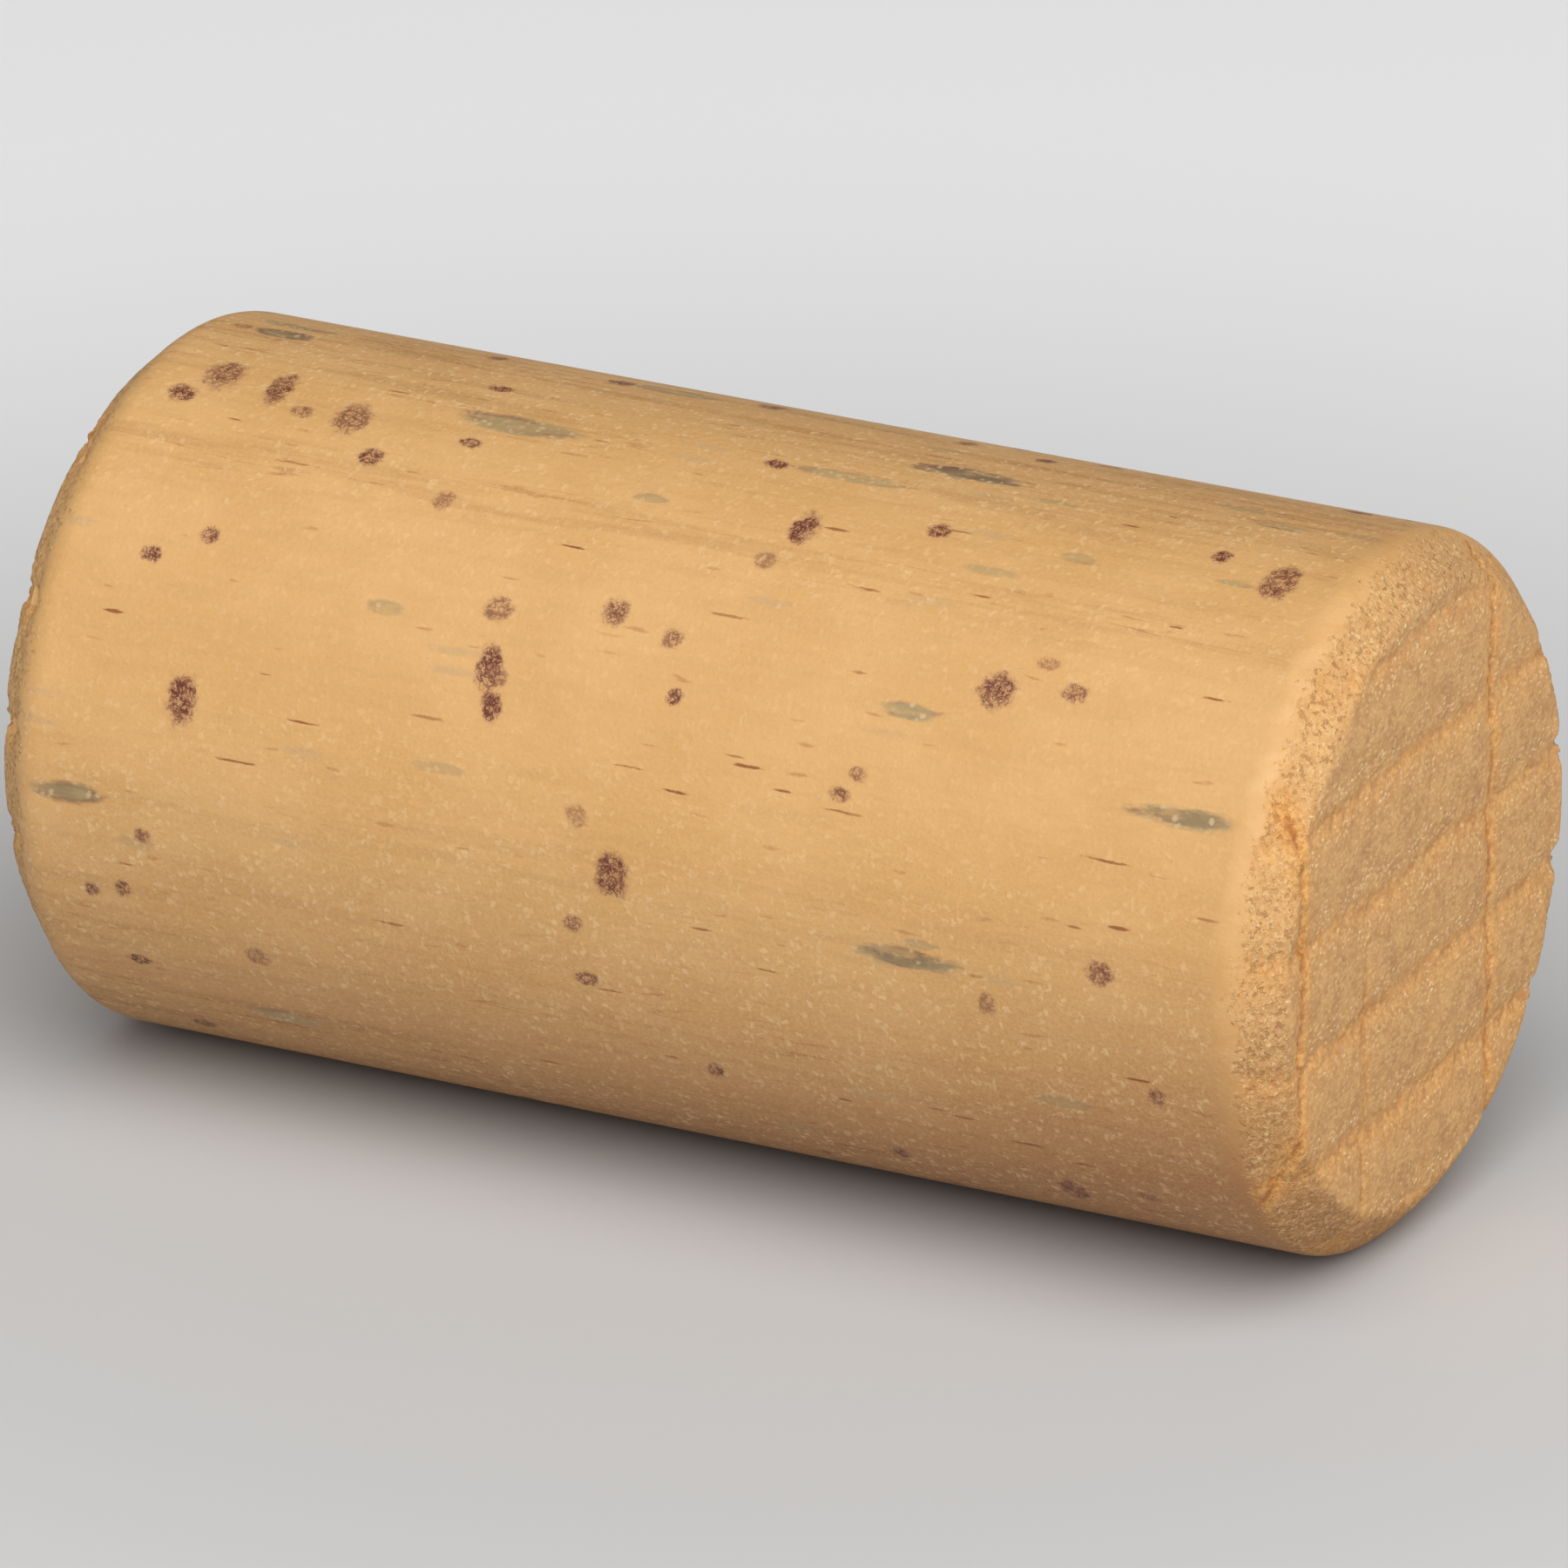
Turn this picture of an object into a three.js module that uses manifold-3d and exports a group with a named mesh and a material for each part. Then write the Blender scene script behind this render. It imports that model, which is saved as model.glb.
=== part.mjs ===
// A synthetic bottle cork: a foam core inside a thin co-extruded skin, lying on its side.
// Millimetres. X runs along the cork, Z is up, and the cork rests on the plane z = 0.

import * as THREE from "three";
import { mergeVertices } from "three/addons/utils/BufferGeometryUtils.js";
import Module from "manifold-3d";

const wasm = await Module();
wasm.setup();

// Driving dimensions
const LENGTH = 43;
const DIAMETER = 22;
const SKIN = 0.8; // thickness of the outer skin
const BOND = 0.02; // radial room left between the skin and the core

// The rims are bevelled through the skin and a little way into the core
const BEVEL_LENGTH = 1.35;
const BEVEL_DEPTH = 1.26;

// Both ends carry a grid of shallow creases
const CREASE_WIDTH = 0.5;
const CREASE_DEPTH = 0.2;
const UPRIGHT_PITCH = 4.35; // between creases that run up and down
const LEVEL_PITCH = 3.65; // between creases that run from side to side
const LEVEL_OFFSET = 1.5; // height of the first level crease above the axis
const CREASE_REACH = 4; // how many creases are tried on each side of the axis

const SIDES = 96; // flats round the cork, each one touching the true round surface
const FLAT = Math.PI / SIDES;

const RADIUS = DIAMETER / 2;
const HALF = LENGTH / 2;
const END_RADIUS = RADIUS - BEVEL_DEPTH;
const CORE_RADIUS = RADIUS - SKIN - BOND;

const skinColour = new THREE.MeshStandardMaterial({
  color: new THREE.Color(0.9, 0.72, 0.48),
  roughness: 0.6,
  metalness: 0,
});
const coreColour = new THREE.MeshStandardMaterial({
  color: new THREE.Color(0.79, 0.61, 0.41),
  roughness: 0.85,
  metalness: 0,
});

// Place along the axis where the bevel reaches a radius
function bevelAt(radius) {
  return HALF - (BEVEL_LENGTH * (radius - END_RADIUS)) / BEVEL_DEPTH;
}

// A turned body about the X axis, from [radius, x] points that go up one side of the profile
function turned(outline) {
  const widen = 1 / Math.cos(FLAT);
  const points = outline.map(([radius, x]) => new THREE.Vector2(radius * widen, x));
  const geometry = new THREE.LatheGeometry(points, SIDES, FLAT, 2 * Math.PI);
  geometry.rotateZ(-Math.PI / 2);
  return geometry;
}

function toSolid(geometry) {
  const bare = geometry.clone();
  bare.deleteAttribute("normal");
  bare.deleteAttribute("uv");
  const merged = mergeVertices(bare, 1e-5);
  return new wasm.Manifold(
    new wasm.Mesh({
      numProp: 3,
      vertProperties: new Float32Array(merged.attributes.position.array),
      triVerts: new Uint32Array(merged.index.array),
    }),
  );
}

function toGeometry(solid) {
  const mesh = solid.getMesh();
  const geometry = new THREE.BufferGeometry();
  geometry.setAttribute("position", new THREE.BufferAttribute(mesh.vertProperties, 3));
  geometry.setIndex(new THREE.BufferAttribute(mesh.triVerts, 1));
  geometry.computeVertexNormals();
  return geometry;
}

// A wedge right across the end face, its sharp edge inside the foam and its mouth past the face
function creaseCutter(end, offset, level) {
  const past = 0.5;
  const half = (CREASE_WIDTH / 2) * (1 + past / CREASE_DEPTH);
  const section = new THREE.Shape();
  section.moveTo(-CREASE_DEPTH, 0);
  section.lineTo(past, -half);
  section.lineTo(past, half);
  section.closePath();
  const wedge = new THREE.ExtrudeGeometry(section, { depth: DIAMETER, bevelEnabled: false });
  wedge.translate(0, offset, -RADIUS);
  if (level) wedge.rotateX(Math.PI / 2);
  if (end < 0) wedge.rotateZ(Math.PI);
  wedge.translate(end * HALF, 0, 0);
  return wedge;
}

// Offsets of the creases that cross an end face, from a first one and a pitch
function creaseOffsets(first, pitch) {
  const offsets = [];
  for (let step = -CREASE_REACH; step <= CREASE_REACH; step += 1) {
    const offset = first + step * pitch;
    if (Math.abs(offset) < END_RADIUS - CREASE_WIDTH) offsets.push(offset);
  }
  return offsets;
}

function foamCore() {
  let core = toSolid(
    turned([
      [0, -HALF],
      [END_RADIUS, -HALF],
      [CORE_RADIUS, -bevelAt(CORE_RADIUS)],
      [CORE_RADIUS, bevelAt(CORE_RADIUS)],
      [END_RADIUS, HALF],
      [0, HALF],
    ]),
  );
  for (const end of [-1, 1]) {
    for (const offset of creaseOffsets(0, UPRIGHT_PITCH)) {
      core = core.subtract(toSolid(creaseCutter(end, offset, false)));
    }
    for (const offset of creaseOffsets(LEVEL_OFFSET, LEVEL_PITCH)) {
      core = core.subtract(toSolid(creaseCutter(end, offset, true)));
    }
  }
  return new THREE.Mesh(toGeometry(core), coreColour);
}

function outerSkin() {
  const inner = RADIUS - SKIN;
  const geometry = turned([
    [inner, -bevelAt(inner)],
    [RADIUS, -bevelAt(RADIUS)],
    [RADIUS, bevelAt(RADIUS)],
    [inner, bevelAt(inner)],
    [inner, -bevelAt(inner)],
  ]);
  return new THREE.Mesh(geometry, skinColour);
}

const cork = new THREE.Group();

const core = foamCore();
core.name = "foam_core";
cork.add(core);

const skin = outerSkin();
skin.name = "outer_skin";
cork.add(skin);

cork.position.z = RADIUS;

export default cork;
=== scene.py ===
"""Looks of a synthetic bottle cork: a printed foam skin round a creased foam core.

Lengths are in millimetres until a mesh is written, and Blender's metres after that.
X runs along the cork. An angle round the cork is 0 on the side that faces -Y and 90 on top.
"""

import math
import random

import bmesh
import bpy
import numpy as np
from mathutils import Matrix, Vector, noise


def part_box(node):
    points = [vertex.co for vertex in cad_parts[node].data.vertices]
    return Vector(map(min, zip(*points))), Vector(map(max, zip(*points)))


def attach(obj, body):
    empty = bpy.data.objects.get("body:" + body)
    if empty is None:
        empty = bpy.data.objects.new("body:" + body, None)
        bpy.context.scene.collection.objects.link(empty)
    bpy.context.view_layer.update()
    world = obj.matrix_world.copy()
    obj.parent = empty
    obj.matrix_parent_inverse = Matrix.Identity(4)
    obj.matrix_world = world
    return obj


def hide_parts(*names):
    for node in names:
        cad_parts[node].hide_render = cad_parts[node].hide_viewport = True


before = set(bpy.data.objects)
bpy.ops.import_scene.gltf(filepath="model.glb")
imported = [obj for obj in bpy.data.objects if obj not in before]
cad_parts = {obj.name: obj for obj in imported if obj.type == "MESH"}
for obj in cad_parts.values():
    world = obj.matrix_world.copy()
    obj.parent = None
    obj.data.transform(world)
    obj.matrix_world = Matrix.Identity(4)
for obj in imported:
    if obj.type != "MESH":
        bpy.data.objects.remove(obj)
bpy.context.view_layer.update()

MM = 0.001

# ---------------------------------------------------------------- sizes taken from the frame

core_low, core_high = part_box("foam_core")
skin_low, skin_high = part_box("outer_skin")
HALF = (core_high.x - core_low.x) / 2 / MM
RADIUS = (skin_high.y - skin_low.y) / 2 / MM
CORE_RADIUS = (core_high.y - core_low.y) / 2 / MM
AXIS = Vector(((core_low.x + core_high.x) / 2, 0, (skin_low.z + skin_high.z) / 2))

# ---------------------------------------------------------------- driving dimensions

BEVEL_LENGTH = 1.35  # along the axis
BEVEL_DEPTH = 1.26  # towards the axis
BEVEL_SLANT = math.hypot(BEVEL_LENGTH, BEVEL_DEPTH)  # way along the bevel, shoulder to end face
BEVEL_WANDER = 0.24  # how much deeper the bevel is cut on its deepest side
BEVEL_DEEPEST = 215  # angle round the cork of its deepest side, in degrees
SHOULDER_ROUND = 0.55  # how far the curve reaches each way from the corner of side and bevel
EDGE_ROUND = 0.4  # the same at the corner of bevel and end face

UPRIGHT_PITCH = 4.35  # between the creases that stand upright on an end face
UPRIGHT_FIRST = 0.05
UPRIGHT_DEPTHS = {-2: 0.13, -1: 0.07, 0: 0.02, 1: 0.11, 2: 0.03}
LEVEL_PITCH = 3.65  # between those that lie level
LEVEL_FIRST = 1.5
LEVEL_DEPTHS = {-3: 0.06, -2: 0.12, -1: 0.11, 0: 0.1, 1: 0.1, 2: 0.08}
GRAZING_DEPTH = 0.05  # of a crease past the listed ones, which only grazes the rim
FAINT_UPRIGHT = -1  # this one fades out above the middle
CREASE_HALF = 0.25  # half width of an upright crease
LEVEL_WIDER = 1.5  # how much wider a level crease is
RIM_NOTCH = 2.0  # how much deeper the creases cut where they cross the bevel on one side
PILLOW = 0.09  # how far the face bulges between level creases
PIT_DEPTH = 0.045  # of the curly pits in the worn bevel

FACE_CELLS = 180  # squares across an end face
COLUMNS = 4 * FACE_CELLS  # points round the cork
SKIN_ROWS = 80  # rows of points between the two rims
INNER_ROOM = 0.01  # between the skin's hidden inner wall and the core
INNER_STEP = 0.15  # how far in from the rim that wall starts
RIM_STEP = 0.1  # between rows of points on the bevels
SIDE_RUN = 1.2  # how far the rims' rows of points reach along the round side
FACE_RUN = 0.7  # and across the end face
HARD_EDGE = 80  # degrees between two faces that keep a hard edge

SEED = 43


def srgb(red, green, blue):
    """A colour on the usual 0 to 255 scale as the linear values that shaders take."""

    def linear(level):
        share = level / 255
        return share / 12.92 if share <= 0.04045 else ((share + 0.055) / 1.055) ** 2.4

    return (linear(red), linear(green), linear(blue), 1.0)


# ---------------------------------------------------------------- shape


def smooth_step(low, high, values):
    share = np.clip((values - low) / (high - low), 0, 1)
    return share * share * (3 - 2 * share)


def noise_at(points, scale, shift=0.0):
    """Smooth noise, about -1 to 1, at an array of points."""
    move = Vector((shift, shift * 1.7, -shift))
    return np.array([noise.noise(Vector(p) * scale + move) for p in points])


def rounded(before, corner, after, reach, steps):
    """Points of a soft corner, from before to after, which start and end `reach` away from it."""
    start = corner + (before - corner).normalized() * reach
    end = corner + (after - corner).normalized() * reach
    curve = []
    for step in range(steps + 1):
        share = step / steps
        curve.append(start * (1 - share) ** 2 + corner * 2 * share * (1 - share) + end * share**2)
    return curve


def evenly(points, step):
    """The same line with points a constant step apart."""
    points = np.array([tuple(p) for p in points])
    lengths = np.r_[0, np.cumsum(np.linalg.norm(np.diff(points, axis=0), axis=1))]
    count = max(2, round(lengths[-1] / step) + 1)
    places = np.linspace(0, lengths[-1], count)
    return np.stack([np.interp(places, lengths, points[:, k]) for k in range(2)], axis=1)


def rim_profile():
    """Section of one rim, from the round side to the flat end.

    Gives (x, radius) points, outward normals, the way along from the shoulder, and the number of the
    point where skin and core meet.
    """
    side = Vector((HALF - BEVEL_LENGTH - SIDE_RUN, RADIUS))
    shoulder = Vector((HALF - BEVEL_LENGTH, RADIUS))
    edge = Vector((HALF, RADIUS - BEVEL_DEPTH))
    face = Vector((HALF, RADIUS - BEVEL_DEPTH - FACE_RUN))
    line = [side]
    line += rounded(side, shoulder, edge, SHOULDER_ROUND, 12)
    line += rounded(shoulder, edge, face, EDGE_ROUND, 10)
    line.append(face)
    profile = evenly(line, RIM_STEP)
    seam = int(np.argmax(profile[:, 1] <= CORE_RADIUS))
    share = (profile[seam - 1, 1] - CORE_RADIUS) / (profile[seam - 1, 1] - profile[seam, 1])
    meeting = profile[seam - 1] + share * (profile[seam] - profile[seam - 1])
    profile = np.insert(profile, seam, meeting, axis=0)
    run = np.gradient(profile, axis=0)
    run /= np.linalg.norm(run, axis=1)[:, None]
    normals = np.stack([-run[:, 1], run[:, 0]], axis=1)
    way = np.r_[0, np.cumsum(np.linalg.norm(np.diff(profile, axis=0), axis=1))]
    return profile, normals, way - np.interp(HALF - BEVEL_LENGTH, profile[:, 0], way), seam


def around(angle):
    """Unit vector that points out of the side at an angle in radians."""
    return np.stack([0 * angle, -np.cos(angle), np.sin(angle)], axis=-1)


def nearest_crease(values, first, pitch, depths):
    """Signed distance to the nearest of a row of evenly spaced creases, and the depth of that one."""
    number = np.round((values - first) / pitch).astype(int)
    depth = np.array([depths.get(n, GRAZING_DEPTH) for n in number])
    return values - first - number * pitch, depth


def creases(points, end):
    """Distances to the nearest upright and level crease, which wander a little, and their depths."""
    wander = 0.14 * noise_at(points, 0.45, 3 + end) + 0.05 * noise_at(points, 2.5, 9 + end)
    across = end * points[:, 1] + wander
    upright, upright_depth = nearest_crease(across, UPRIGHT_FIRST, UPRIGHT_PITCH, UPRIGHT_DEPTHS)
    faint = np.abs(across - UPRIGHT_FIRST - FAINT_UPRIGHT * UPRIGHT_PITCH) < UPRIGHT_PITCH / 2
    upright_depth = upright_depth * np.where(faint, smooth_step(0.2, -1.2, points[:, 2]), 1)
    wander = 0.2 * noise_at(points, 0.4, 17 + end) + 0.05 * noise_at(points, 2.2, 23 + end)
    up = points[:, 2] + wander
    level, level_depth = nearest_crease(up, LEVEL_FIRST, LEVEL_PITCH, LEVEL_DEPTHS)
    return upright, upright_depth, level, level_depth


def trough(distance, half_width):
    """1 at the middle of a crease, and 0 away from it."""
    return np.exp(-((distance / half_width) ** 2))


def swell(distance, pitch):
    """A slow wave, 1 at a crease and 0 midway between two."""
    return 0.5 + 0.5 * np.cos(2 * math.pi * distance / pitch)


def rim_shape(points, normals, band, end):
    """Moves points of a rim or an end face in from the plain shape.

    band is the way along the profile from the shoulder, below 0 on the round side. The amber field says how
    stretched the foam is at the creases, and the crack field marks their bottoms, which the colour darkens
    partly as torn foam, partly as painted shade.
    """
    upright, upright_depth, level, level_depth = creases(points, end)
    on_bevel = smooth_step(0.1, 0.8, band)
    on_face = smooth_step(BEVEL_SLANT - 0.1, BEVEL_SLANT + 0.3, band)

    uneven = 1 + 0.5 * noise_at(points, 0.7, 31)
    torn = 0.8 + 0.9 * noise_at(points, 2.4, 41) + 0.6 * noise_at(points, 5.5, 43)
    cut = np.maximum(
        torn * upright_depth * trough(upright, CREASE_HALF),
        torn * level_depth * trough(level, LEVEL_WIDER * CREASE_HALF),
    )
    notched_side = smooth_step(0.3 * RADIUS, 0.9 * RADIUS, end * points[:, 1])
    deeper = 1 + RIM_NOTCH * notched_side * on_bevel * (1 - on_face)
    sink = on_bevel * deeper * uneven * cut

    sink += on_face * PILLOW * (swell(level, LEVEL_PITCH) + 0.3 * swell(upright, UPRIGHT_PITCH))
    grain = noise_at(points, 5.0) + 0.6 * noise_at(points, 11.0)
    sink += on_bevel * (0.012 - 0.008 * on_face) * (grain + 0.8)
    curls = smooth_step(0.16, 0.02, np.abs(noise_at(points, 2.6, 5)))
    patches = smooth_step(-0.1, 0.25, noise_at(points, 0.9, 11))
    pitted = smooth_step(0.25, 0.7, band) * (1 - 0.9 * on_face)
    sink += PIT_DEPTH * pitted * patches * curls

    below = np.where(level < 0, 0.9, 0.35)
    amber = np.maximum(upright_depth / 0.1 * trough(upright, 0.5), level_depth / 0.17 * trough(level, below))
    # crease bottoms, which the colour darkens: partly torn foam, partly painted shade
    crack = np.maximum(upright_depth / 0.12 * trough(upright, 0.13), level_depth / 0.3 * trough(level, 0.12))
    return points - normals * np.maximum(sink, 0)[:, None], amber, crack


def write_mesh(name, points, faces, fields):
    """A mesh from millimetre points about the cork's middle, with a float attribute for each field."""
    mesh = bpy.data.meshes.new(name)
    mesh.from_pydata((points * MM + np.array(AXIS)).tolist(), [], faces)
    for field, values in fields.items():
        kind = "FLOAT" if values.ndim == 1 else "FLOAT_VECTOR"
        data = mesh.attributes.new(field, kind, "POINT").data
        data.foreach_set("value" if kind == "FLOAT" else "vector", values.astype(np.float32).ravel())
    mesh.validate()
    mesh.shade_smooth()
    mesh.set_sharp_from_angle(angle=math.radians(HARD_EDGE))
    piece = bpy.data.objects.new(name, mesh)
    bpy.context.collection.objects.link(piece)
    return piece


def deepen(profile_x, profile_r, angle):
    """Radius after the bevel's slow change in depth round the rim."""
    share = np.clip((profile_x - HALF + BEVEL_LENGTH) / BEVEL_LENGTH, 0, 1)
    turn = angle - math.radians(BEVEL_DEEPEST)
    return profile_r - BEVEL_WANDER * share * (0.5 + 0.5 * np.cos(turn))


def ring_grid(rows, columns, first=0):
    """Quads that join rows of points on closed rings."""
    faces = []
    for row in range(rows - 1):
        for column in range(columns):
            a = first + row * columns + column
            b = first + row * columns + (column + 1) % columns
            faces.append((a, b, b + columns, a + columns))
    return faces


def turned_rows(profile, normals, angles):
    """Points and normals of a profile turned about the axis, row after row."""
    out = around(angles)
    points, directions = [], []
    for (x, radius), (nx, nr) in zip(profile, normals):
        radii = deepen(abs(x), radius, angles)
        points.append(out * radii[:, None] + np.array([x, 0, 0]))
        directions.append(out * nr + np.array([nx, 0, 0]))
    return np.concatenate(points), np.concatenate(directions)


# ---------------------------------------------------------------- print on the skin

# Marks that the print copies from natural cork, scattered all round:
# how many, length along the cork, width round it, strength of the ink
BIG_PORES = (22, (0.7, 1.2), (0.9, 1.7), (0.7, 0.95))
PORES = (105, (0.5, 0.95), (0.45, 0.85), (0.4, 0.95))
BIG_STREAKS = (16, (1.8, 4.0), (0.45, 0.9), (0.6, 1.0))
STREAKS = (42, (0.7, 2.0), (0.25, 0.55), (0.3, 0.6))
DASHES = (150, (0.4, 1.6), (0.08, 0.14), (0.5, 1.0))

# Where round the cork the fine brown grain and the pale scales show most: angle, half width, share
GRAIN_BANDS = [
    (61, 5, 0.8), (84, 10, 1.0), (98, 10, 1.6), (-22, 14, 0.6), (-52, 18, 2.0),
    (4, 7, 0.3), (150, 25, 0.8), (205, 20, 0.5), (250, 22, 0.9),
]
SCALE_BANDS = [
    (-15, 26, 0.9), (-50, 16, 1.0), (92, 20, 1.0), (12, 12, 0.4), (62, 14, 0.45),
    (170, 30, 0.8), (235, 30, 0.7),
]
# And where the ground is a redder, darker brown: partly the print's hue, partly painted shade on the
# underside (-60)
TONE_AND_SHADE_BANDS = [(-60, 34, 1.0), (96, 14, 0.2), (190, 30, 0.15), (260, 40, 0.3)]
# painted shade: the redder, darker ground grows towards the right end and fades towards the left
SHADE_SLOPE = 0.45  # and how much more so at the right end than in the middle
# painted shade: a darker band low on the side, near the right end only
SHADE_CORNER = (-19, 25, 0.3)  # one more such band, near the right end only
SHADE_CORNER_RUN = (0.35 * HALF, 0.85 * HALF)  # where along the axis it comes in

PRINT_END = HALF - BEVEL_LENGTH - 0.9  # where the print stops, along the axis
LEFT_PRINT_GAIN = 0.8  # how much nearer the print comes to the left end than to the right one
MARK_ROOM = 1.6  # how far a mark's own field reaches, in half sizes
MARK_MARGIN = 0.7  # and the room round that
FIELD_GAP = 0.6  # between two fields of one layer, more than a row of points is wide
FAR_AWAY = 1e4  # the centre of points that are near no mark


def scattered(draw, count, lengths, widths, inks):
    """Random marks all round the cork."""
    marks = []
    for _ in range(count):
        angle = draw.uniform(-180, 180)
        place = draw.uniform(-PRINT_END, PRINT_END)
        marks.append((place, angle, draw.uniform(*lengths), draw.uniform(*widths), draw.uniform(*inks)))
    return marks


def clear_of(mark, others):
    """True if a mark's field keeps the gap to each of the others'."""
    reach = 2 * MARK_MARGIN + FIELD_GAP
    place, angle, length, width, _ = mark
    for other_place, other_angle, other_length, other_width, _ in others:
        turn = (angle - other_angle + 180) % 360 - 180
        gap_along = abs(place - other_place) - MARK_ROOM * (length + other_length) / 2
        gap_round = abs(math.radians(turn)) * RADIUS - MARK_ROOM * (width + other_width) / 2
        if gap_along < reach and gap_round < reach:
            return False
    return True


def layered(marks):
    """The marks in as few layers as keep those of one layer clear of each other."""
    layers = []
    for mark in marks:
        for layer in layers:
            if clear_of(mark, layer):
                layer.append(mark)
                break
        else:
            layers.append([mark])
    return layers


def band_share(points, bands):
    """How strongly each point is inside bands round the cork, 0 to 1."""
    angles = np.degrees(np.arctan2(points[:, 2], -points[:, 1]))
    share = np.zeros(len(points))
    for middle, half_width, strength in bands:
        turn = (angles - middle + 180) % 360 - 180
        share = np.maximum(share, strength * np.exp(-((turn / half_width) ** 2)))
    return share


def ground_tone_and_shade(points):
    """How much of the redder, darker brown is in the ground: partly the print's hue, partly painted shade
    low on the side and towards the right end.
    """
    near_right = smooth_step(*SHADE_CORNER_RUN, points[:, 0])
    share = band_share(points, TONE_AND_SHADE_BANDS) * (1 + SHADE_SLOPE * points[:, 0] / HALF)
    return share + near_right * band_share(points, [SHADE_CORNER])


def mark_fields(points, name, layers):
    """For each layer, the centre, half size and ink of the mark that each point is near."""
    angles = np.arctan2(points[:, 2], -points[:, 1])
    fields = {}
    for number, layer in enumerate(layers):
        centre = np.full_like(points, FAR_AWAY)
        half_size = np.ones_like(points)
        ink = np.zeros(len(points))
        for place, angle, length, width, strength in layer:
            turn = (angles - math.radians(angle) + math.pi) % (2 * math.pi) - math.pi
            along = np.abs(points[:, 0] - place) < MARK_ROOM * length / 2 + MARK_MARGIN
            near = along & (np.abs(turn) * RADIUS < MARK_ROOM * width / 2 + MARK_MARGIN)
            centre[near] = around(np.array(math.radians(angle))) * RADIUS + np.array([place, 0, 0])
            half_size[near] = (length / 2, width / 2, width / 2)
            ink[near] = strength
        fields[f"{name}_{number}_centre"] = centre
        fields[f"{name}_{number}_half"] = half_size
        fields[f"{name}_{number}_ink"] = ink
    return fields


# ---------------------------------------------------------------- pieces


def disc_places():
    """A square grid pressed into the unit disc, and the numbers of its border places in turn."""
    steps = np.linspace(-1, 1, FACE_CELLS + 1)
    across, up = np.meshgrid(steps, steps)
    places = np.stack([across * np.sqrt(1 - up**2 / 2), up * np.sqrt(1 - across**2 / 2)], axis=-1)
    n = FACE_CELLS
    border = [(0, c) for c in range(n)] + [(r, n) for r in range(n)]
    border += [(n, c) for c in range(n, 0, -1)] + [(r, 0) for r in range(n, 0, -1)]
    return places.reshape(-1, 2), [r * (n + 1) + c for r, c in reversed(border)]


def border_angles():
    """Angles round the cork of the border of an end face; every ring of points uses them."""
    places, border = disc_places()
    return np.arctan2(places[border][:, 1], -places[border][:, 0])


def skin_profile():
    """The skin's section from the left rim to the right one: points, outward normals and bands."""
    rim, rim_normals, rim_band, seam = rim_profile()
    rim, rim_normals, rim_band = rim[: seam + 1], rim_normals[: seam + 1], rim_band[: seam + 1]
    straight = np.linspace(-rim[0, 0], rim[0, 0], SKIN_ROWS)[1:-1]
    mirror = np.array([-1, 1])
    middle = np.stack([straight, np.full_like(straight, RADIUS)], axis=1)
    outward = np.stack([np.zeros_like(straight), np.ones_like(straight)], axis=1)
    profile = np.concatenate([rim[::-1] * mirror, middle, rim])
    normals = np.concatenate([rim_normals[::-1] * mirror, outward, rim_normals])
    bands = np.concatenate([rim_band[::-1], np.full(len(straight), rim_band[0]), rim_band])
    return profile, normals, bands


def print_fields(points, layers):
    """Everything that the print's material reads at each point."""
    fields = {
        "grain": band_share(points, GRAIN_BANDS),
        "scales": band_share(points, SCALE_BANDS),
        "tone_and_shade": ground_tone_and_shade(points),
        "print_shift": np.where(points[:, 0] < 0, -LEFT_PRINT_GAIN, 0.0),
    }
    for name in layers:
        fields.update(mark_fields(points, name, layers[name]))
    return fields


def printed_skin(layers):
    """The skin as one closed shell: left rim, side, right rim, and the hidden inner wall."""
    profile, normals, bands = skin_profile()
    angles = border_angles()
    points, directions = turned_rows(profile, normals, angles)
    band = np.repeat(bands, COLUMNS)
    amber, crack = np.zeros(len(points)), np.zeros(len(points))
    fields = print_fields(points, layers)
    for end in (-1, 1):
        near = (points[:, 0] * end > 0) & (band > -0.2)
        points[near], amber[near], crack[near] = rim_shape(points[near], directions[near], band[near], end)
    fields.update(band=band, amber=amber, crack=crack)

    outer_count = len(points)
    inner = around(angles) * (CORE_RADIUS + INNER_ROOM)
    inner_x = profile[-1, 0] - INNER_STEP
    points = np.concatenate([points, inner + [inner_x, 0, 0], inner - [inner_x, 0, 0]])
    faces = ring_grid(len(profile) + 2, COLUMNS)
    last = len(points) - COLUMNS
    for column in range(COLUMNS):
        following = (column + 1) % COLUMNS
        faces.append((last + column, last + following, following, column))
    for name, values in fields.items():
        blank = np.zeros((len(points) - outer_count, *values.shape[1:]))
        fields[name] = np.concatenate([values, blank])
    return write_mesh("printed_skin", points, [face[::-1] for face in faces], fields)


def core_end_faces(end, rings, first):
    """Quads of one end of the core, whose points are so many rings and then a disc."""
    rim_faces = ring_grid(rings, COLUMNS, first)
    disc_first = first + rings * COLUMNS
    _, border = disc_places()
    onto = {disc_first + place: disc_first - COLUMNS + k for k, place in enumerate(border)}
    disc_faces = []
    for row in range(FACE_CELLS):
        for column in range(FACE_CELLS):
            a = disc_first + row * (FACE_CELLS + 1) + column
            corners = (a, a + 1, a + FACE_CELLS + 2, a + FACE_CELLS + 1)
            disc_faces.append(tuple(onto.get(corner, corner) for corner in corners))
    if end > 0:
        return [face[::-1] for face in rim_faces] + disc_faces
    return rim_faces + [face[::-1] for face in disc_faces]


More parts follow.
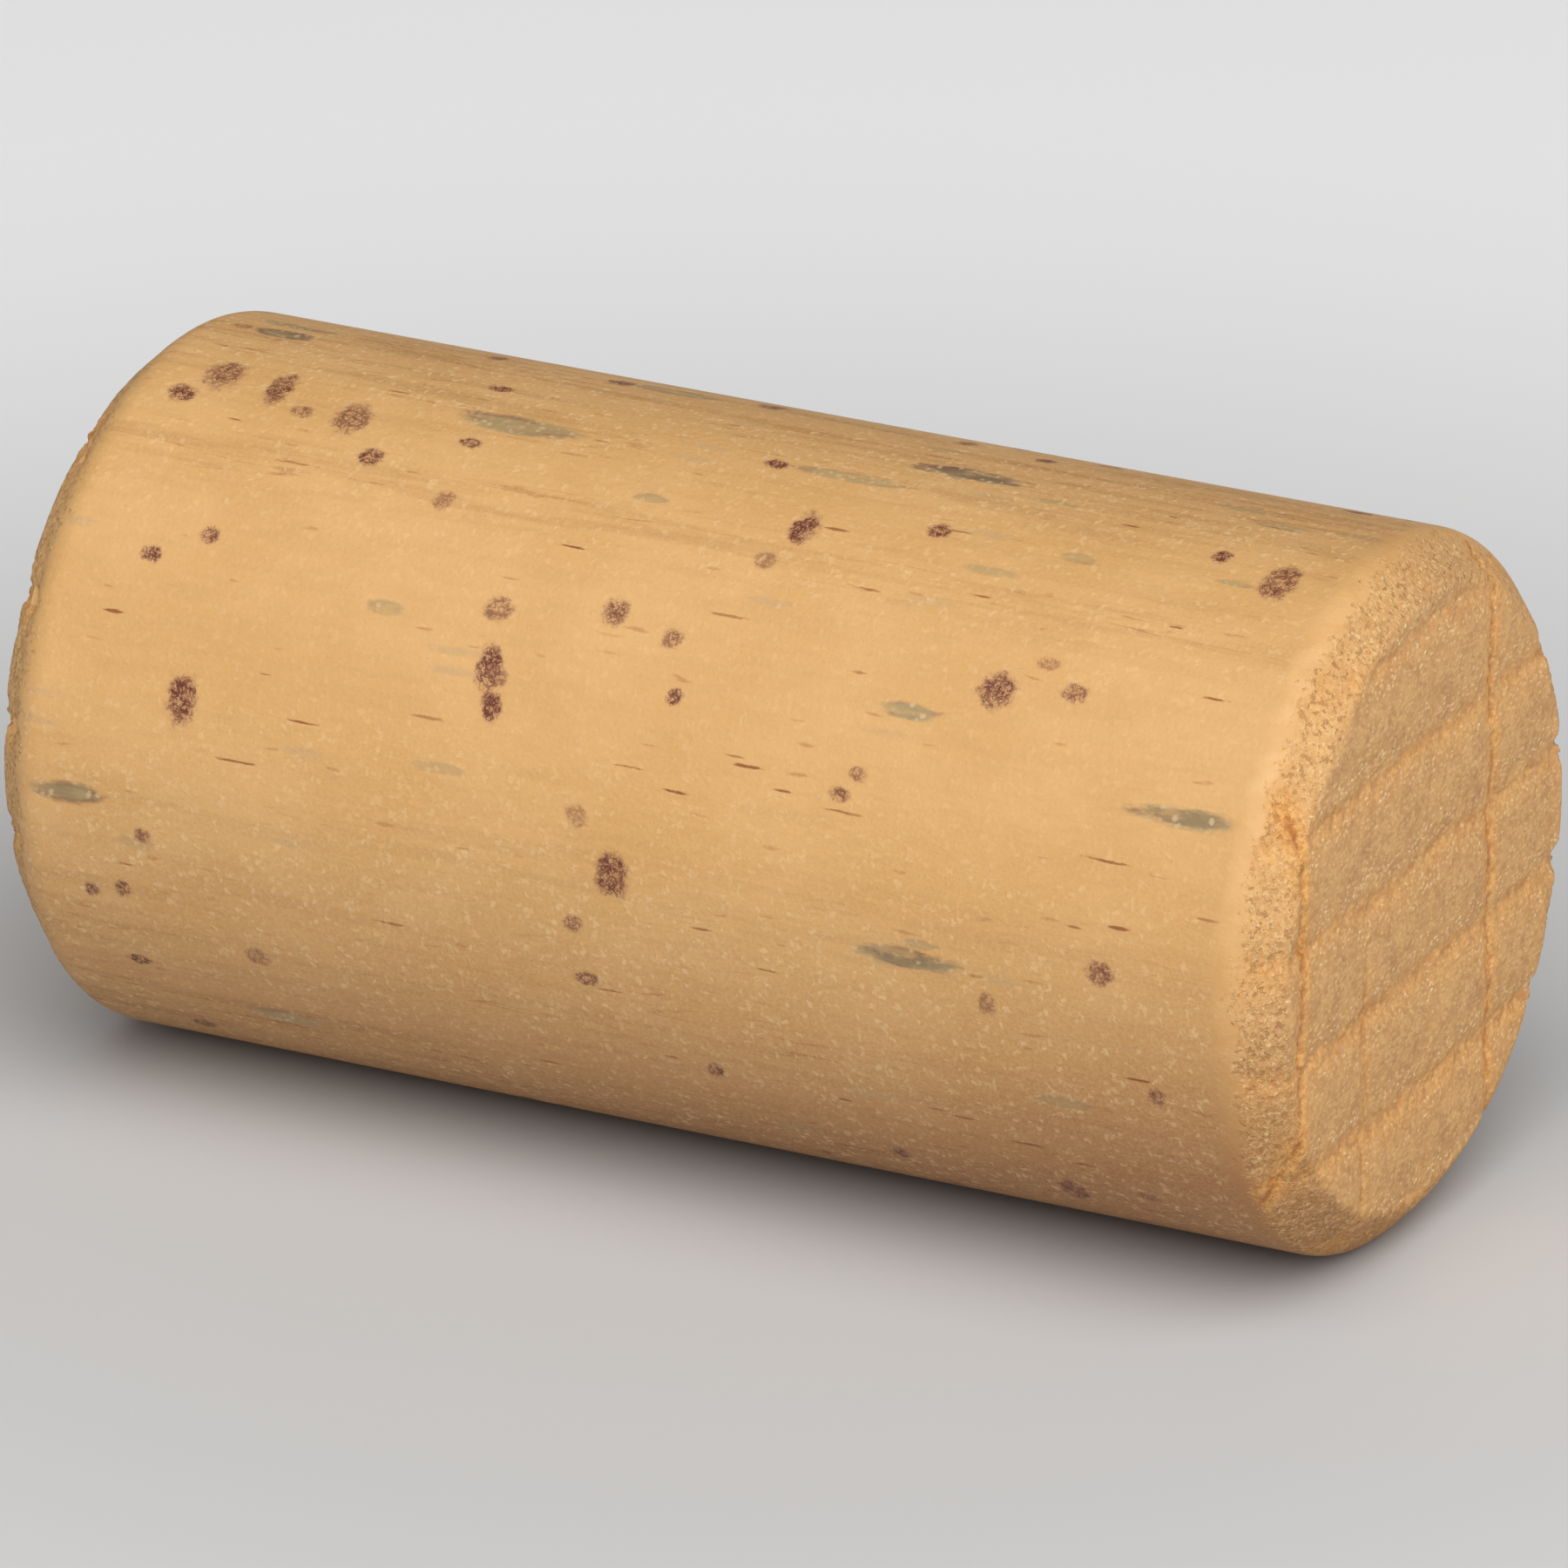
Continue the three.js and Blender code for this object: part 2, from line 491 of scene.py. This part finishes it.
def core_end(end, first):
    """Points, faces and fields of one end of the core, from the hidden side to the face's middle."""
    rim, rim_normals, rim_band, seam = rim_profile()
    rim, rim_normals, rim_band = rim[seam:], rim_normals[seam:], rim_band[seam:]
    flat_radius = rim[-1, 1]
    flip = np.array([end, 1])
    places, _ = disc_places()
    angles = border_angles()
    points, normals = turned_rows(rim * flip, rim_normals * flip, angles)
    band = np.repeat(rim_band, COLUMNS)
    scale = deepen(HALF, flat_radius, np.arctan2(places[:, 1], -places[:, 0]))
    disc = np.stack([np.full(len(places), end * HALF), *(places.T * scale)], axis=1)
    centre_distance = np.linalg.norm(places, axis=1) * flat_radius
    points = np.concatenate([points, disc])
    normals = np.concatenate([normals, np.tile([end, 0, 0], (len(disc), 1))])
    band = np.concatenate([band, rim_band[-1] + flat_radius - centre_distance])
    points, amber, crack = rim_shape(points, normals, band, end)

    hidden = around(angles) * CORE_RADIUS + [end * (rim[0, 0] - INNER_STEP), 0, 0]
    points = np.concatenate([hidden, points])
    padding = np.zeros(COLUMNS)
    fields = {
        "band": np.concatenate([padding, band]),
        "amber": np.concatenate([padding, amber]),
        "crack": np.concatenate([padding, crack]),
        "tone_and_shade": ground_tone_and_shade(points),
    }
    return points, core_end_faces(end, len(rim) + 1, first), fields


def drop_loose_points(mesh):
    """Removes the points that no face uses."""
    work = bmesh.new()
    work.from_mesh(mesh)
    loose = [vert for vert in work.verts if not vert.link_faces]
    bmesh.ops.delete(work, geom=loose, context="VERTS")
    work.to_mesh(mesh)
    work.free()


def creased_core():
    """The core with dense, creased ends and a plain side, which the skin hides."""
    left_points, left_faces, left_fields = core_end(-1, 0)
    other = len(left_points)
    right_points, right_faces, right_fields = core_end(1, other)
    faces = left_faces + right_faces
    for column in range(COLUMNS):
        following = (column + 1) % COLUMNS
        faces.append((column, other + column, other + following, following))
    fields = {name: np.concatenate([left_fields[name], right_fields[name]]) for name in left_fields}
    piece = write_mesh("creased_foam", np.concatenate([left_points, right_points]), faces, fields)
    drop_loose_points(piece.data)
    return piece


# ---------------------------------------------------------------- colours

# Cut foam
FOAM_DULL = srgb(191, 142, 92)
FOAM_WARM = srgb(209, 160, 103)
FOAM_PATCH = srgb(215, 165, 101)
FOAM_GRANULE = srgb(244, 204, 142)
FOAM_GAP = srgb(166, 118, 74)
# painted highlight: glints of the open cells
FOAM_PAINTED_GLINT = srgb(255, 228, 176)

# Creases
FIBRE_DARK = srgb(196, 132, 66)
FIBRE_PALE = srgb(228, 172, 102)
# partly painted shade: the dark bottoms of the creases, partly torn foam
TORN_AND_SHADED_BOTTOM = srgb(158, 92, 42)

# Worn bevel
WORN_DULL = srgb(190, 140, 84)
WORN_WARM = srgb(206, 158, 99)
# browner bevel where the tone field says: partly real hue, partly painted shade
WORN_BROWN_AND_SHADE = srgb(150, 100, 56)
CRUMB = srgb(238, 197, 138)
FINE_CRUMB = srgb(244, 205, 150)
# painted highlight: sparkle points on the crumbs
CRUMB_PAINTED_GLINT = srgb(255, 232, 190)
# painted shade: the dark brown in the bevel's pits
PAINTED_PIT_SHADE = srgb(148, 96, 52)

# Ground of the print
GROUND_WARM = srgb(213, 166, 107)
GROUND_DULL = srgb(208, 160, 99)
# redder, darker ground where the tone field says: partly real hue, partly painted shade
GROUND_REDDER_AND_SHADE = srgb(164, 111, 66)
BLOTCH = srgb(190, 146, 92)
GRAIN = srgb(154, 104, 58)
GRAIN_LINE = srgb(146, 86, 44)
GREY_FLECK = srgb(166, 146, 116)
REDDISH_FLECK = srgb(166, 102, 58)
DULL_SCALE = srgb(184, 138, 84)
FINE_SCALE = srgb(227, 186, 131)
PALE_SCALE = srgb(236, 199, 147)
SCALE_ON_INK = srgb(226, 188, 138)

# Marks of the print
PORE_HALO = srgb(192, 141, 98)
PORE_FILL = srgb(170, 116, 86)
PORE_LINE = srgb(102, 52, 38)
STREAK_PALE = srgb(166, 142, 99)
STREAK_DARK = srgb(106, 80, 64)
STREAK_OUTLINE = srgb(122, 78, 62)
STREAK_DOT = srgb(216, 190, 148)
DASH = srgb(140, 78, 38)

# Bare skin past the print
BARE_DULL = srgb(208, 160, 100)
BARE_WARM = srgb(215, 169, 110)
# redder, darker bare skin where the tone field says: partly real hue, partly painted shade
BARE_REDDER_AND_SHADE = srgb(172, 120, 72)


# Full height of the bump on each piece, in millimetres
SKIN_BUMP = 0.06
FACE_BUMP = 0.05


# ---------------------------------------------------------------- shader building


class Shader:
    """Short ways to add and join the nodes of one material."""

    def __init__(self, name):
        self.material = bpy.data.materials.new(name)
        self.material.use_nodes = True
        self.tree = self.material.node_tree
        self.surface = self.tree.nodes["Principled BSDF"]

    def node(self, kind, inputs=(), **settings):
        made = self.tree.nodes.new(kind)
        for setting, value in settings.items():
            setattr(made, setting, value)
        for socket, value in dict(inputs).items():
            self.put(made.inputs[socket], value)
        return made

    def put(self, socket, value):
        if isinstance(value, bpy.types.NodeSocket):
            self.tree.links.new(value, socket)
        else:
            socket.default_value = value

    def maths(self, operation, first, second=0.0, clamp=False):
        made = self.node("ShaderNodeMath", {0: first, 1: second}, operation=operation, use_clamp=clamp)
        return made.outputs[0]

    def add(self, first, second):
        return self.maths("ADD", first, second)

    def times(self, first, second):
        return self.maths("MULTIPLY", first, second)

    def step(self, value, low, high, start=0.0, end=1.0):
        """Goes smoothly from start to end as value goes from low to high."""
        inputs = {"Value": value, "From Min": low, "From Max": high, "To Min": start, "To Max": end}
        return self.node("ShaderNodeMapRange", inputs, interpolation_type="SMOOTHSTEP").outputs[0]

    def vector(self, operation, first, second=(0, 0, 0)):
        return self.node("ShaderNodeVectorMath", {0: first, 1: second}, operation=operation)

    def places(self, stretch=(1, 1, 1)):
        """Millimetres about the cork's middle, times a stretch."""
        coords = self.node("ShaderNodeTexCoord").outputs["Object"]
        centred = self.vector("SUBTRACT", coords, tuple(AXIS)).outputs[0]
        return self.vector("MULTIPLY", centred, tuple(s / MM for s in stretch)).outputs[0]

    def noise(self, places, scale, detail=2.0, roughness=0.5, distortion=0.0):
        inputs = {
            "Vector": places,
            "Scale": scale,
            "Detail": detail,
            "Roughness": roughness,
            "Distortion": distortion,
        }
        return self.node("ShaderNodeTexNoise", inputs).outputs["Fac"]

    def cells(self, places, scale):
        return self.node("ShaderNodeTexVoronoi", {"Vector": places, "Scale": scale})

    def bent(self, places, scale, amount):
        """The same places, moved about by up to `amount` millimetres."""
        inputs = {"Vector": places, "Scale": scale, "Detail": 3.0}
        moves = self.node("ShaderNodeTexNoise", inputs).outputs["Color"]
        moves = self.vector("MULTIPLY", moves, (amount, amount, amount)).outputs[0]
        return self.vector("ADD", places, moves).outputs[0]

    def field(self, name, output="Fac"):
        return self.node("ShaderNodeAttribute", attribute_name=name).outputs[output]

    def mix(self, share, first, second, kind="RGBA"):
        """From the first colour at a share of 0 to the second at 1; numbers are of kind FLOAT."""
        made = self.node("ShaderNodeMix", data_type=kind)
        self.put(made.inputs["Factor"], share)
        self.put(made.inputs["A"], first)
        self.put(made.inputs["B"], second)
        return made.outputs["Result"]

    def bump(self, height, distance, strength=1.0):
        """A normal from a height of 0 to 1, for a full height of `distance` millimetres."""
        inputs = {"Height": height, "Distance": distance * MM, "Strength": strength}
        return self.node("ShaderNodeBump", inputs).outputs[0]


def chances(s, cells):
    """Two random values, 0 to 1, that each cell has."""
    parts = s.node("ShaderNodeSeparateColor", {0: cells.outputs["Color"]}).outputs
    return parts[0], parts[1]


def glints(s, places, scale, size, rarity):
    """Small specks, a share of the cells of a random foam; where they lighten cut or worn foam they are
    painted glints.
    """
    cells = s.cells(places, scale)
    chance, _ = chances(s, cells)
    chosen = s.step(chance, rarity, rarity + 0.1)
    return s.times(s.step(cells.outputs["Distance"], size, size * 0.4), chosen)


def granules(s, places, scale):
    """How pale each grain of a crumbly surface is, and how high it stands, both 0 to 1."""
    cells = s.cells(places, scale)
    pale, _ = chances(s, cells)
    return pale, s.step(cells.outputs["Distance"], 0.75, 0.1)


def ridges(s, places, scale, width, detail=2.0, distortion=0.0):
    """Thin winding lines."""
    level = s.noise(places, scale, detail, 0.5, distortion)
    return s.step(s.maths("ABSOLUTE", s.maths("SUBTRACT", level, 0.5)), width, width * 0.2)


def cut_foam(s, mm):
    """Colour and height of cut foam, with painted glints where its open cells glitter."""
    bent = s.bent(s.places((1.0, 0.65, 1.0)), 5.0, 0.12)
    slow = s.step(s.noise(mm, 1.3, 4.0, 0.6), 0.35, 0.65)
    colour = s.mix(slow, FOAM_DULL, FOAM_WARM)
    patches = s.step(s.noise(mm, 0.5, 3.0), 0.4, 0.62)
    colour = s.mix(s.times(patches, 0.35), colour, FOAM_PATCH)
    pale, raised = granules(s, bent, 8.0)
    colour = s.mix(s.times(s.times(pale, raised), 0.75), colour, FOAM_GRANULE)
    colour = s.mix(s.step(pale, 0.3, 0.0, 0.0, 0.3), colour, FOAM_GAP)
    # painted highlights: glints where the open cells catch the light
    bright = s.maths("MAXIMUM", glints(s, bent, 6.8, 0.42, 0.8), glints(s, bent, 4.2, 0.28, 0.8))
    colour = s.mix(s.times(bright, 0.8), colour, FOAM_PAINTED_GLINT)
    return colour, s.add(s.times(s.times(pale, raised), 0.3), s.times(bright, 0.2))


def creased_colour(s, mm, colour):
    """Amber where the creases stretch the foam, with bottoms darkened partly by torn brown foam and partly
    by painted shade.
    """
    amber = s.times(s.field("amber"), s.step(s.noise(mm, 1.5, 4.0, 0.65), 0.25, 0.6, 0.4, 1.15))
    fibres = s.step(s.noise(mm, 5.0, 3.0, 0.65), 0.36, 0.62)
    stretched = s.mix(fibres, FIBRE_DARK, FIBRE_PALE)
    colour = s.mix(s.maths("MULTIPLY", amber, 0.72, clamp=True), colour, stretched)
    # crease bottoms darkened: partly torn foam, partly painted shade
    torn = s.times(s.field("crack"), s.step(s.noise(mm, 1.9, 4.0, 0.65), 0.4, 0.62))
    return s.mix(s.maths("MULTIPLY", torn, 0.75, clamp=True), colour, TORN_AND_SHADED_BOTTOM)


def worn_foam(s, mm, colour):
    """Colour and height of the worn bevel: fine pale crumbs and curls with painted glints, over pits
    darkened with painted shade; browner where the tone field says, which is partly painted shade.
    """
    bent = s.bent(mm, 5.0, 0.4)
    pale, raised = granules(s, bent, 6.0)
    fine_pale, fine_raised = granules(s, bent, 10.0)
    crowd = s.step(s.noise(mm, 0.9, 3.0), 0.4, 0.62)
    slow = s.step(s.noise(mm, 1.8, 4.0, 0.6), 0.35, 0.65)
    base = s.mix(slow, WORN_DULL, WORN_WARM)
    # partly painted shade: browner on the underside and towards the right end
    base = s.mix(s.field("tone_and_shade"), base, WORN_BROWN_AND_SHADE)
    base = s.mix(s.times(s.times(pale, raised), 0.85), base, CRUMB)
    base = s.mix(s.times(s.times(fine_pale, fine_raised), 0.5), base, FINE_CRUMB)
    pits = s.step(s.noise(mm, 5.5, 3.0, 0.6), 0.46, 0.37)
    # painted shade: pits darkened
    base = s.mix(s.times(pits, s.add(s.times(crowd, 0.5), 0.3)), base, PAINTED_PIT_SHADE)
    # painted highlights: sparkle points on the crumbs
    base = s.mix(s.times(glints(s, bent, 4.6, 0.26, 0.84), 0.7), base, CRUMB_PAINTED_GLINT)
    height = s.add(s.times(s.times(pale, raised), 0.5), s.times(s.times(fine_pale, fine_raised), 0.2))
    return s.mix(0.2, base, colour), s.maths("SUBTRACT", height, s.times(pits, 0.3))


def mark_reach(s, mm, name, number):
    """Way out from a mark's centre, 1 on its outline, and the strength of its ink."""
    offset = s.vector("SUBTRACT", mm, s.field(f"{name}_{number}_centre", "Vector")).outputs[0]
    share = s.vector("DIVIDE", offset, s.field(f"{name}_{number}_half", "Vector")).outputs[0]
    return s.vector("LENGTH", share).outputs["Value"], s.field(f"{name}_{number}_ink")


def pores(s, mm, colour, layers):
    """Purple-brown pores, scribbled with a fine pen."""
    wobble = s.maths("SUBTRACT", s.noise(mm, 2.3, 5.0, 0.85), 0.5)
    lines = s.maths("MAXIMUM", ridges(s, mm, 4.0, 0.085, 3.0, 0.5), ridges(s, mm, 7.5, 0.075, 1.0))
    spots = s.step(s.noise(mm, 3.0, 2.0), 0.4, 0.62)
    for number in range(layers):
        reach, ink = mark_reach(s, mm, "pore", number)
        reach = s.add(reach, s.times(wobble, 1.7))
        inked = s.times(s.step(reach, 1.2, 0.65), ink)
        halo = s.times(s.step(reach, 1.5, 0.7), s.times(ink, 0.35))
        colour = s.mix(halo, colour, PORE_HALO)
        colour = s.mix(s.times(inked, s.add(s.times(spots, 0.35), 0.32)), colour, PORE_FILL)
        drawn = s.times(inked, s.add(s.times(lines, 0.88), s.times(spots, s.times(ink, 0.35))))
        colour = s.mix(s.maths("MULTIPLY", drawn, 1.05, clamp=True), colour, PORE_LINE)
    return colour


def streaks(s, mm, long_mm, colour, layers):
    """Grey-green streaks, darker in patches, with ragged, partly reddish outlines and pale dots."""
    ragged = s.maths("SUBTRACT", s.noise(long_mm, 2.4, 4.0, 0.7), 0.5)
    stripes = s.step(s.noise(long_mm, 3.4, 3.0), 0.3, 0.55, 0.5, 1.0)
    patches = s.step(s.noise(long_mm, 1.9, 3.0, 0.6), 0.38, 0.6)
    dots = glints(s, s.bent(mm, 4.0, 0.2), 3.8, 0.48, 0.4)
    reddish = s.step(s.noise(long_mm, 1.3, 2.0), 0.42, 0.56)
    for number in range(layers):
        reach, ink = mark_reach(s, mm, "streak", number)
        reach = s.add(reach, s.times(ragged, 1.5))
        body = s.times(s.step(reach, 1.25, 0.75), s.times(ink, stripes))
        filled = s.maths("MAXIMUM", patches, s.step(ink, 0.93, 1.0))
        dark = s.times(s.times(filled, s.step(reach, 1.1, 0.7)), s.step(ink, 0.6, 1.1))
        shade = s.mix(dark, STREAK_PALE, STREAK_DARK)
        outline = s.times(s.step(reach, 0.45, 0.95), s.step(ink, 0.3, 0.8))
        shade = s.mix(s.times(outline, s.times(reddish, 0.75)), shade, STREAK_OUTLINE)
        shade = s.mix(s.times(dots, 0.55), shade, STREAK_DOT)
        colour = s.mix(s.maths("MULTIPLY", body, 1.25, clamp=True), colour, shade)
    return colour


def dashes(s, mm, long_mm, colour, layers):
    """Thin reddish-brown dashes that run along the grain."""
    ragged = s.maths("SUBTRACT", s.noise(long_mm, 5.0, 4.0, 0.7), 0.5)
    for number in range(layers):
        reach, ink = mark_reach(s, mm, "dash", number)
        line = s.times(s.step(s.add(reach, s.times(ragged, 3.0)), 1.0, 0.4), ink)
        colour = s.mix(line, colour, DASH)
    return colour


def printed_ground(s, mm, long_mm):
    """The plain ground, redder and darker where the tone field says (partly painted shade), with soft
    blotches, brown grain and a few broken lines along the cork.
    """
    colour = s.mix(s.step(s.noise(mm, 0.3, 3.0), 0.35, 0.65), GROUND_WARM, GROUND_DULL)
    # partly painted shade: redder and darker on the underside and towards the right end
    colour = s.mix(s.field("tone_and_shade"), colour, GROUND_REDDER_AND_SHADE)
    blotches = s.step(s.noise(long_mm, 2.6, 4.0, 0.6), 0.4, 0.7)
    colour = s.mix(s.times(blotches, 0.18), colour, BLOTCH)
    share = s.field("grain")
    very_long_mm = s.places((0.06, 1.0, 1.0))
    grain = s.step(s.noise(very_long_mm, 1.9, 4.0, 0.65), 0.45, 0.66)
    colour = s.mix(s.times(grain, s.add(s.times(share, 0.34), 0.05)), colour, GRAIN)
    line = ridges(s, very_long_mm, 0.9, 0.01, 3.0)
    broken = s.step(s.noise(long_mm, 1.6, 3.0, 0.7), 0.45, 0.6)
    return s.mix(s.times(s.times(line, broken), s.times(share, 0.6)), colour, GRAIN_LINE)


def faint_flecks(s, colour):
    """Small grey and reddish flecks, all over."""
    drift = s.bent(s.places((0.18, 1.0, 1.0)), 4.0, 0.3)
    colour = s.mix(s.times(glints(s, drift, 1.2, 0.26, 0.7), 0.3), colour, GREY_FLECK)
    return s.mix(s.times(glints(s, drift, 2.6, 0.2, 0.6), 0.5), colour, REDDISH_FLECK)


def foam_scales(s, mm, colour):
    """Pale and dull scales of foam that show through the print, and how much of a pale one there is."""
    cells = s.cells(s.bent(mm, 4.5, 0.5), 4.4)
    pale_chance, dull_chance = chances(s, cells)
    plate = s.step(cells.outputs["Distance"], 0.66, 0.2)
    share = s.add(s.times(s.field("scales"), 0.36), 0.1)
    pale = s.times(s.times(s.step(pale_chance, 0.55, 0.95), plate), share)
    dull = s.times(s.step(dull_chance, 0.5, 1.0), s.times(share, 0.3))
    colour = s.mix(dull, colour, DULL_SCALE)
    fine = s.step(s.noise(mm, 9.0, 3.0, 0.65), 0.35, 0.7)
    colour = s.mix(s.times(fine, s.add(s.times(share, 0.6), 0.06)), colour, FINE_SCALE)
    return s.mix(pale, colour, PALE_SCALE), pale


def printed_colour(s, mm, long_mm, layer_counts):
    """The whole print, and how much of a pale scale there is at each place."""
    colour = faint_flecks(s, printed_ground(s, mm, long_mm))
    colour, pale = foam_scales(s, mm, colour)
    colour = streaks(s, mm, long_mm, colour, layer_counts["streak"])
    colour = dashes(s, mm, long_mm, colour, layer_counts["dash"])
    colour = pores(s, mm, colour, layer_counts["pore"])
    return s.mix(s.times(pale, 0.5), colour, SCALE_ON_INK), pale


def bare_skin(s, mm):
    """Colour of the skin past the end of the print, redder and darker where the tone field says, which is
    partly painted shade.
    """
    slow = s.step(s.noise(mm, 1.4, 3.0), 0.35, 0.65)
    # partly painted shade: redder and darker on the underside and towards the right end
    return s.mix(s.field("tone_and_shade"), s.mix(slow, BARE_DULL, BARE_WARM), BARE_REDDER_AND_SHADE)


def skin_material(layer_counts):
    """Print on the side, then a strip of bare skin, then worn foam over the bevel."""
    s = Shader("printed_foam_skin")
    mm = s.places()
    long_mm = s.places((0.25, 1.0, 1.0))
    band = s.field("band")
    printed, scales = printed_colour(s, mm, long_mm, layer_counts)
    ragged = s.maths("SUBTRACT", s.noise(mm, 1.6, 4.0, 0.6), 0.5)
    print_edge = s.add(s.add(band, s.field("print_shift")), s.times(ragged, 1.2))
    bare = s.step(print_edge, -0.85, -0.35, 0.0, 0.85)
    surface = s.mix(bare, printed, bare_skin(s, mm))

    foam_colour, _ = cut_foam(s, mm)
    worn_colour, worn_height = worn_foam(s, mm, foam_colour)
    worn_colour = creased_colour(s, mm, worn_colour)
    spotted = s.maths("SUBTRACT", s.noise(mm, 3.4, 3.0, 0.7, 0.8), 0.5)
    worn_edge = s.add(s.add(band, s.times(ragged, 1.4)), s.times(spotted, 2.2))
    worn = s.step(s.add(worn_edge, s.times(s.field("tone_and_shade"), 0.4)), 0.1, 0.5)
    surface = s.mix(worn, surface, worn_colour)

    smooth_height = s.add(s.times(s.noise(mm, 6.0, 4.0, 0.6), 0.35), s.times(scales, 0.35))
    height = s.mix(worn, smooth_height, worn_height, "FLOAT")
    s.put(s.surface.inputs["Base Color"], surface)
    s.put(s.surface.inputs["Roughness"], s.step(worn, 0.0, 1.0, 0.52, 0.78))
    s.put(s.surface.inputs["Normal"], s.bump(height, SKIN_BUMP))
    s.put(s.surface.inputs["Specular IOR Level"], 0.35)
    return s.material


def core_material():
    """Cut foam on the end face, and worn foam on the core's part of the bevel."""
    s = Shader("creased_foam")
    mm = s.places()
    colour, height = cut_foam(s, mm)
    worn_colour, worn_height = worn_foam(s, mm, colour)
    ragged = s.maths("SUBTRACT", s.noise(mm, 2.4, 4.0, 0.65), 0.5)
    face_edge = s.add(s.field("band"), s.times(ragged, 0.7))
    flat = s.step(face_edge, BEVEL_SLANT - 0.15, BEVEL_SLANT + 0.1)
    surface = creased_colour(s, mm, s.mix(flat, worn_colour, colour))
    mixed_height = s.mix(flat, worn_height, height, "FLOAT")
    s.put(s.surface.inputs["Base Color"], surface)
    s.put(s.surface.inputs["Roughness"], s.step(height, 0.2, 0.9, 0.75, 0.5))
    s.put(s.surface.inputs["Normal"], s.bump(mixed_height, FACE_BUMP))
    s.put(s.surface.inputs["Specular IOR Level"], 0.4)
    return s.material


# ---------------------------------------------------------------- stage

CAMERA_AZIMUTH = 26.9
CAMERA_ELEVATION = 22.3
CAMERA_DISTANCE = 0.559
CAMERA_LENS = 426.2
CAMERA_FILM = 36  # width of the film that the lens length goes with
AIM_OFFSET = Vector((0.00003, 0, -0.00022))
FLOOR_HALF = 4.0
# painted shadow: the paper is darker under the cork
PAINTED_SHADOW_PAPER = (0.54, 0.54, 0.54, 1)  # under the cork
PALE_PAPER = (0.84, 0.84, 0.84, 1)
WORLD_STRENGTH = 0.12


def direction(azimuth, elevation):
    a, e = math.radians(azimuth), math.radians(elevation)
    return Vector((math.sin(a) * math.cos(e), -math.cos(a) * math.cos(e), math.sin(e)))


def camera():
    data = bpy.data.cameras.new("camera")
    data.lens = CAMERA_LENS
    data.sensor_width = CAMERA_FILM
    data.clip_start = 0.01
    eye = bpy.data.objects.new("camera", data)
    back = direction(CAMERA_AZIMUTH, CAMERA_ELEVATION)
    eye.location = AXIS + AIM_OFFSET + back * CAMERA_DISTANCE
    eye.rotation_euler = (-back).to_track_quat("-Z", "Y").to_euler()
    bpy.context.collection.objects.link(eye)
    bpy.context.scene.camera = eye


def softbox(name, azimuth, elevation, distance, width, watts):
    data = bpy.data.lights.new(name, "AREA")
    data.shape = "SQUARE"
    data.size = width
    data.energy = watts
    lamp = bpy.data.objects.new(name, data)
    back = direction(azimuth, elevation)
    lamp.location = AXIS + back * distance
    lamp.rotation_euler = (-back).to_track_quat("-Z", "Y").to_euler()
    bpy.context.collection.objects.link(lamp)


def floor():
    """Matt paper, darker near the cork: a painted shadow under it."""
    corners = [(-FLOOR_HALF, -FLOOR_HALF, 0), (FLOOR_HALF, -FLOOR_HALF, 0)]
    corners += [(FLOOR_HALF, FLOOR_HALF, 0), (-FLOOR_HALF, FLOOR_HALF, 0)]
    mesh = bpy.data.meshes.new("floor")
    mesh.from_pydata(corners, [], [(0, 1, 2, 3)])
    ground = bpy.data.objects.new("floor", mesh)
    ground.location.z = skin_low.z
    bpy.context.collection.objects.link(ground)
    s = Shader("pale_floor")
    coords = s.node("ShaderNodeTexCoord").outputs["Object"]
    distance = s.vector("LENGTH", coords).outputs["Value"]
    s.put(s.surface.inputs["Base Color"], s.mix(s.step(distance, 0.015, 0.09), PAINTED_SHADOW_PAPER, PALE_PAPER))
    s.put(s.surface.inputs["Roughness"], 0.9)
    mesh.materials.append(s.material)


def studio():
    softbox("key_light", azimuth=34, elevation=50, distance=1.5, width=1.8, watts=35.5)
    softbox("fill_light", azimuth=100, elevation=5, distance=1.0, width=0.8, watts=1.5)
    world = bpy.data.worlds.new("studio")
    world.use_nodes = True
    background = world.node_tree.nodes["Background"]
    background.inputs["Color"].default_value = (1, 1, 1, 1)
    background.inputs["Strength"].default_value = WORLD_STRENGTH
    bpy.context.scene.world = world
    bpy.context.scene.view_settings.view_transform = "Standard"


# ---------------------------------------------------------------- build

camera()

draw = random.Random(SEED)
layers = {
    "pore": layered(scattered(draw, *BIG_PORES) + scattered(draw, *PORES)),
    "streak": layered(scattered(draw, *BIG_STREAKS) + scattered(draw, *STREAKS)),
    "dash": layered(scattered(draw, *DASHES)),
}

skin = printed_skin(layers)
skin.data.materials.append(skin_material({name: len(layers[name]) for name in layers}))
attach(skin, "root")
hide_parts("outer_skin")

core = creased_core()
core.data.materials.append(core_material())
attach(core, "root")
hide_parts("foam_core")

floor()
studio()
